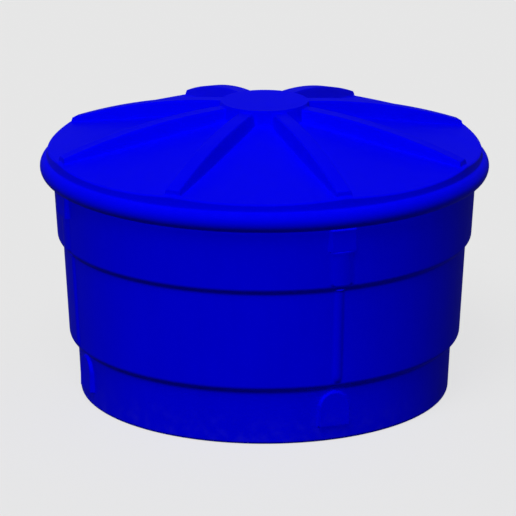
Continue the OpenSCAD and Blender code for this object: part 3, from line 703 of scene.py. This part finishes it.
@dataclass
class Lid:
    """The lift-off lid: hub, radial ribs, flat panels and the rolled bead with its lip.

    Args:
        edge_r, edge_z: Radius and height of the panels' edge at a panel's middle.
        slope: Slope of the panels, degrees.
        hub_r, hub_z: Radius and height of the hub's top.
        rib_half: Half the width of a rib's top.
        rib_end: Radius where the ribs end.
        arch: Radius of the arch the ribs' tops follow.
        rib_drop: How far a rib's top lies below the hub's top where they meet.
        skin: Thickness of the lid.
        fillet: Width of the joins between panels, ribs and hub.
        skirt_r: Inner radius of the skirt.
    """

    edge_r: float = 706.0
    edge_z: float = 813.0
    slope: float = 10.5
    hub_r: float = 142.0
    hub_z: float = 965.0
    hub_rise: float = 47.5
    hub_draft: float = 8.0
    rib_half: float = 24.0
    rib_end: float = 690.0
    rib_end_h: float = 14.0
    rib_side: float = 12.0
    arch: float = 1950.0
    bead_r: float = 34.5
    bead_c: float = 695.5
    bead_z: float = 758.5
    seat_r: float = 676.5
    seat_z: float = 802.3
    panels: int = 8
    rib_drop: float = 10.0
    skin: float = 5.0
    fillet: float = 7.0
    skirt_r: float = 701.0

    def plane(self, r: np.ndarray, from_panel: np.ndarray) -> np.ndarray:
        """Height of the flat panels: the edge's height plus slope times the way in from the edge."""
        return self.edge_z + math.tan(math.radians(self.slope)) * (self.edge_r - r * np.cos(from_panel))

    def arch_centre(self) -> np.ndarray:
        """Centre of the arch through the two ends of a rib's top, below the middle of their chord."""
        half = math.pi / self.panels
        a = np.array([self.hub_r, self.hub_z - self.rib_drop])
        foot = float(self.plane(np.array(self.rib_end), np.array(half)))
        b = np.array([self.rib_end, foot + self.rib_end_h])
        chord = b - a
        length = float(np.hypot(*chord))
        sink = math.sqrt(self.arch ** 2 - length ** 2 / 4)
        return (a + b) / 2 + sink / length * np.array([chord[1], -chord[0]])

    def crest(self, along: np.ndarray) -> np.ndarray:
        """Height of a rib's top at a distance along it: a circle about the arch's centre."""
        c = self.arch_centre()
        return c[1] + np.sqrt(np.maximum(self.arch ** 2 - (along - c[0]) ** 2, 1.0))

    def height(self, r: np.ndarray, from_rib: np.ndarray, inset: float) -> np.ndarray:
        """Height of the lid's skin: panels, ribs and hub joined with fillets.

        A rib is its arched top, cut down by its steep sides and its end. The hub is its flat top, cut down
        by its drafted side. Each pair is joined by a smooth minimum, and the three by a smooth maximum.

        Args:
            r: Distance from the axis, mm.
            from_rib: Angle from the nearest rib, radians.
            inset: How far under the outer skin, mm.

        Returns:
            Heights, mm.
        """
        half = math.pi / self.panels
        panel = self.plane(r, half - np.abs(from_rib)) - inset / math.cos(math.radians(self.slope))
        w, along = np.abs(r * np.sin(from_rib)), r * np.cos(from_rib)
        top = self.crest(along) - inset
        steep = 1.0 / math.tan(math.radians(self.rib_side))
        side = top + (self.rib_half - inset - w) * steep
        end = top + (self.rib_end - inset * 3.0 - along) * 6.0
        rib = smooth_min(smooth_min(top, side, 11.0), end, self.fillet)
        rib = np.where(along > 60.0, rib, panel - 20.0)
        hub_side = self.hub_z + (self.hub_r - inset - r) * self.hub_rise / self.hub_draft
        hub = smooth_min(np.full_like(r, self.hub_z - inset), hub_side - inset, self.fillet)
        return smooth_max(smooth_max(panel, rib, self.fillet), hub, self.fillet)

    def columns(self, r: np.ndarray) -> np.ndarray:
        """Angles from the rib at each radius, from one panel's middle over the rib to the next.

        Over the rib they stay at set widths: across the top, then close together down the side to the foot.
        Out on the panel they spread evenly to its middle.

        Args:
            r: Radii of the rows, mm.

        Returns:
            A (rows, columns) array of angles.
        """
        rr = np.maximum(r, 152.0)[:, None]
        half = math.pi / self.panels
        rise = np.maximum(self.crest(np.minimum(rr, self.rib_end)) - self.plane(rr, np.array(half)), 12.0)
        foot = self.rib_half + rise * math.tan(math.radians(self.rib_side)) + 8.0
        down = np.linspace(0.0, 1.0, 13)[None, :]
        widths = np.concatenate([0 * rr, 0 * rr + 9.0, 16.0 + (foot - 16.0) * down], axis=1)
        over = np.arcsin(np.clip(widths / rr, 0.0, 0.999))
        out = over[:, -1:] + (half - over[:, -1:]) * np.linspace(0, 1, 8)[None, 1:]
        side = np.concatenate([over, out], axis=1)
        return np.concatenate([-side[:, :0:-1], side[:, :-1]], axis=1)

    def rows(self) -> np.ndarray:
        """Radii of the top's rows: close together at the hub's edge, the ribs' ends and the rim."""
        return np.concatenate([
            [0.0, 1.0], np.linspace(25, 125, 5),
            [132, 135.5, 138], np.linspace(139.5, 153, 10), [155.5, 159, 164, 171],
            np.linspace(182, 670, 34),
            [676, 680, 683, 685, 686.5, 688], np.linspace(689.2, 692.8, 4),
            [694.2, 696, 698.5, self.skirt_r]])

    def build(self) -> bpy.types.Object:
        """Builds the closed lid: top from the middle out, over the bead, under the lip, and back inside."""
        sectors = 2 * math.pi / self.panels
        top_r = self.rows()
        last = self.columns(np.array([self.edge_r]))
        half = math.pi / self.panels

        def lay(r: np.ndarray, cols: np.ndarray, z: np.ndarray) -> np.ndarray:
            """Repeats one sector's rows round the axis and turns them into points."""
            turn = (np.arange(self.panels) * sectors + half)[:, None, None]
            angle = np.concatenate(list(cols[None] + turn), axis=1)
            zz = np.tile(z, (1, self.panels))
            rr = np.tile(r, (1, self.panels))
            return np.stack([rr * np.sin(angle), -rr * np.cos(angle), zz], axis=-1)

        cols = self.columns(top_r)
        r = np.repeat(top_r[:, None], cols.shape[1], axis=1)
        blocks = [lay(r, cols, self.height(r, cols, 0.0))]

        rim = self.height(np.full_like(last, self.skirt_r), last, 0.0)
        drop = self.plane(np.array([[self.edge_r]]), half - np.abs(last))
        round_a = np.radians(np.linspace(80, 0, 6))[:, None]
        corner_r = self.edge_r - 5.0 + 5.0 * np.cos(round_a) + 0 * last
        corner_z = np.minimum(drop, rim) - 5.0 + 5.0 * np.sin(round_a)
        ring = np.repeat(last, 6, axis=0)
        blocks.append(lay(corner_r, ring, corner_z))
        t = np.linspace(0.2, 0.9, 4)[:, None]
        foot_z = 794.0
        wall_z = corner_z[-1:] * (1 - t) + foot_z * t
        blocks.append(lay(self.edge_r + 1.6 * t + 0 * last, np.repeat(last, 4, axis=0), wall_z))

        under = np.vstack([
            np.array([[707.8, 793.0], [708.6, 791.3], [709.6, 790.1]]),
            arc(self.bead_c, self.bead_z, self.bead_r, 63.5, -88, 34),
            arc(self.bead_c, self.bead_z - self.bead_r + 2.5, 2.5, -90, -180, 3),
            arc(self.bead_c, self.bead_z, self.bead_r - self.skin, -84, 79, 12),
            np.array([[self.skirt_r, 795.0], [self.skirt_r, 801.0],
                      [699.5, self.seat_z], [688.0, self.seat_z],
                      [self.seat_r + 1.5, self.seat_z], [self.seat_r, self.seat_z + 1.5]]),
        ])
        n = len(under)
        blocks.append(lay(under[:, :1] + 0 * last, np.repeat(last, n, axis=0), under[:, 1:] + 0 * last))

        in_r = np.concatenate([[675.0, 672.0, 668.0, 664.0], np.linspace(650, 160, 22),
                               [152, 147, 143, 140, 137, 134, 130, 120, 90, 50, 1.0, 0.0]])
        cols = self.columns(in_r)
        r = np.repeat(in_r[:, None], cols.shape[1], axis=1)
        blocks.append(lay(r, cols, self.height(r, cols, self.skin)))
        return closed_surface("lid_dome", np.concatenate(blocks, axis=0), 60.0)

    def dress(self, lid: bpy.types.Object) -> None:
        """Finishes the lid, ties it to its body and hides the node that it stands in for."""
        dress(lid, Finish.LID)
        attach(lid, "lid")
        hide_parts("lid_shell")


# ---------------------------------------------------------------- studio


@dataclass
class Studio:
    """Plain pale floor, soft lights and the camera.

    Args:
        aim_az: Azimuth of the camera, degrees.
        distance, eye_z: Camera's distance from the axis and height, m.
        pitch: How far the camera looks down, degrees.
        lens: Focal length, mm.
        shift: Sideways shift of the frame.
        sky: Strength of the backdrop as it is seen.
        fill: Strength of the light that the backdrop gives.
    """

    aim_az: float = 1.7
    distance: float = 10.95
    eye_z: float = 3.749
    pitch: float = 16.8546
    lens: float = 243.2
    shift: float = -0.0126
    sky: float = 0.815
    fill: float = 0.14

    def build(self) -> None:
        """Builds the floor, the world, the lights and the camera."""
        self.floor()
        self.world()
        self.sun("key", -14.0, 54.0, 14.0, 2.2, False)
        self.sun("key_soft", -14.0, 54.0, 32.0, 0.75)
        self.sun("right_fill", 80.0, 8.0, 40.0, 0.16)
        self.camera()
        bpy.context.scene.view_settings.view_transform = "Standard"

    def floor(self) -> None:
        """A wide flat floor just under the tank."""
        size = 40.0 / MM
        points = np.array([[x * size, y * size, -0.5] for x, y in ((-1, -1), (1, -1), (1, 1), (-1, 1))])
        floor = make_object("studio_floor", points, [[0, 1, 2, 3]])
        floor.data.materials.append(Floor().material())

    def world(self) -> None:
        """A pale backdrop that lights the tank only dimly."""
        world = bpy.data.worlds.new("studio_world")
        world.use_nodes = True
        tree = world.node_tree
        tree.nodes.clear()
        seen = add(tree, "ShaderNodeBackground", {0: (1, 1, 1, 1), 1: self.sky})
        lit = add(tree, "ShaderNodeBackground", {0: (1, 1, 1, 1), 1: self.fill})
        path = tree.nodes.new("ShaderNodeLightPath")
        mix = add(tree, "ShaderNodeMixShader",
                  {0: path.outputs["Is Camera Ray"], 1: lit.outputs[0], 2: seen.outputs[0]})
        out = tree.nodes.new("ShaderNodeOutputWorld")
        tree.links.new(mix.outputs[0], out.inputs[0])
        bpy.context.scene.world = world

    def sun(self, name: str, azimuth: float, rise: float, width: float, strength: float,
            shadow: bool = True) -> None:
        """A far, wide soft light.

        Args:
            name: Name of the light.
            azimuth: Degrees from -Y towards +X.
            rise: Degrees above the floor.
            width: How wide the light looks from the tank, degrees.
            strength: W/m2 on a face that looks straight at it.
            shadow: Whether it casts shadows.
        """
        data = bpy.data.lights.new(name, "SUN")
        data.angle = math.radians(width)
        data.energy = strength
        data.use_shadow = shadow
        obj = bpy.data.objects.new(name, data)
        a, e = math.radians(azimuth), math.radians(rise)
        where = Vector((math.sin(a) * math.cos(e), -math.cos(a) * math.cos(e), math.sin(e)))
        obj.location = where * 9.0
        obj.rotation_euler = (-where).to_track_quat("-Z", "Y").to_euler()
        bpy.context.scene.collection.objects.link(obj)

    def camera(self) -> None:
        """The camera, far off with a long lens, looking slightly down."""
        data = bpy.data.cameras.new("view")
        data.lens = self.lens
        data.sensor_width = 36.0
        data.shift_x = self.shift
        data.clip_end = 200.0
        cam = bpy.data.objects.new("view", data)
        a = math.radians(self.aim_az)
        cam.location = (self.distance * math.sin(a), -self.distance * math.cos(a), self.eye_z)
        cam.rotation_euler = (math.radians(90 - self.pitch), 0, a)
        bpy.context.scene.collection.objects.link(cam)
        bpy.context.scene.camera = cam


def dress_nodes(frame: dict) -> None:
    """Gives every node that stays as it is the finish of its material slot."""
    for part in frame["record"]["subparts"]:
        dress(frame["nodes"][part["node"]], SLOT_FINISH[part["material_slot"]])
        LOG.info("dressed %s", part["node"])


def main() -> None:
    """Builds and reports every piece."""
    logging.basicConfig(level=logging.INFO, format="%(message)s")
    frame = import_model()
    Studio().build()
    dress_nodes(frame)
    for moulding in (TankShell(), Lid()):
        piece = moulding.build()
        moulding.dress(piece)
        LOG.info("built %s: %d faces", piece.name, len(piece.data.polygons))


if __name__ == "__main__":
    main()
